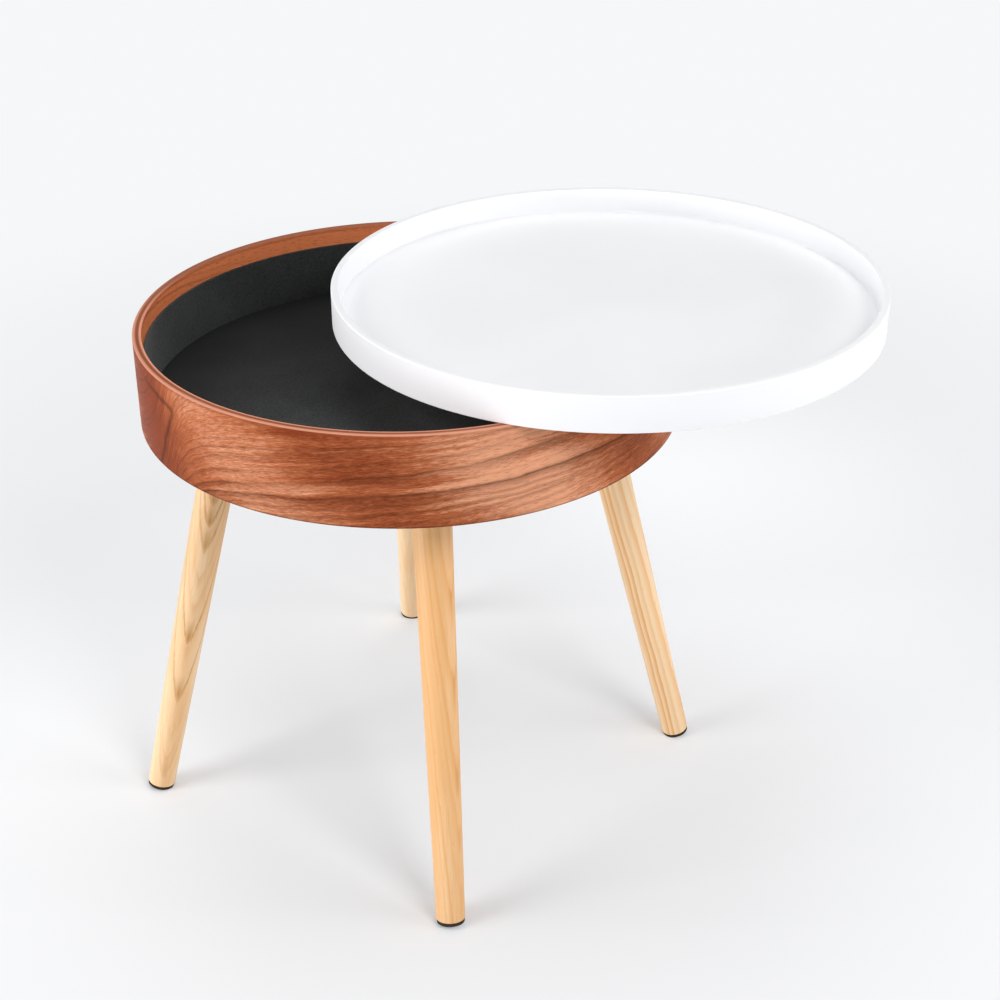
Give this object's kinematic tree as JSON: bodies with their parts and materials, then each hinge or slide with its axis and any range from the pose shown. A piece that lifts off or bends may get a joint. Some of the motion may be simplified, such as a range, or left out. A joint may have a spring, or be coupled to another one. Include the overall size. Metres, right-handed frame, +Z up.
{
  "type": "round side table",
  "caption": "Round side table: a walnut storage drum with a black-lined compartment on splayed tapered legs, under a loose white tray top that slides aside or lifts off.",
  "frame": {"origin": "on the floor, in the middle of the table's footprint with the tray slid aside as in the picture; the drum's axis stands 77 mm to -X and 1 mm to -Y of it", "axes": "+Z up; +X the way the tray is slid aside, within 1 degree; -Y towards the picture's viewer"},
  "size_m": [0.6808, 0.5352, 0.5018],
  "materials": {
    "walnut": "walnut veneer, satin lacquer",
    "white_lacquer": "white satin lacquer",
    "black_lining": "matte black felt-faced lining",
    "base_board": "board, black stain",
    "ash": "clear satin lacquer on pale ash",
    "dark_glide": "dark brown pad",
    "zinc_steel": "zinc-plated"
  },
  "bodies": {
    "table": {"drum_hoop": "walnut", "drum_liner": "black_lining", "floor_mat": "black_lining", "base_panel": "base_board", "leg_front": "ash", "leg_right": "ash", "leg_back": "ash", "leg_left": "ash", "glide_front": "dark_glide", "glide_right": "dark_glide", "glide_back": "dark_glide", "glide_left": "dark_glide", "plate_front": "zinc_steel", "plate_right": "zinc_steel", "plate_back": "zinc_steel", "plate_left": "zinc_steel", "bolt_front": "zinc_steel", "bolt_right": "zinc_steel", "bolt_back": "zinc_steel", "bolt_left": "zinc_steel", "screw_front_1": "zinc_steel", "screw_front_2": "zinc_steel", "screw_front_3": "zinc_steel", "screw_front_4": "zinc_steel", "screw_right_1": "zinc_steel", "screw_right_2": "zinc_steel", "screw_right_3": "zinc_steel", "screw_right_4": "zinc_steel", "screw_back_1": "zinc_steel", "screw_back_2": "zinc_steel", "screw_back_3": "zinc_steel", "screw_back_4": "zinc_steel", "screw_left_1": "zinc_steel", "screw_left_2": "zinc_steel", "screw_left_3": "zinc_steel", "screw_left_4": "zinc_steel"},
    "tray": {"tray_hoop": "white_lacquer", "tray_panel": "white_lacquer"}
  },
  "joints": [
    {"name": "tray_slide", "type": "slide", "parent": "table", "child": "tray", "axis": [-0.9999, -0.0148, 0], "range_m": [0, 0.1754]}
  ]
}
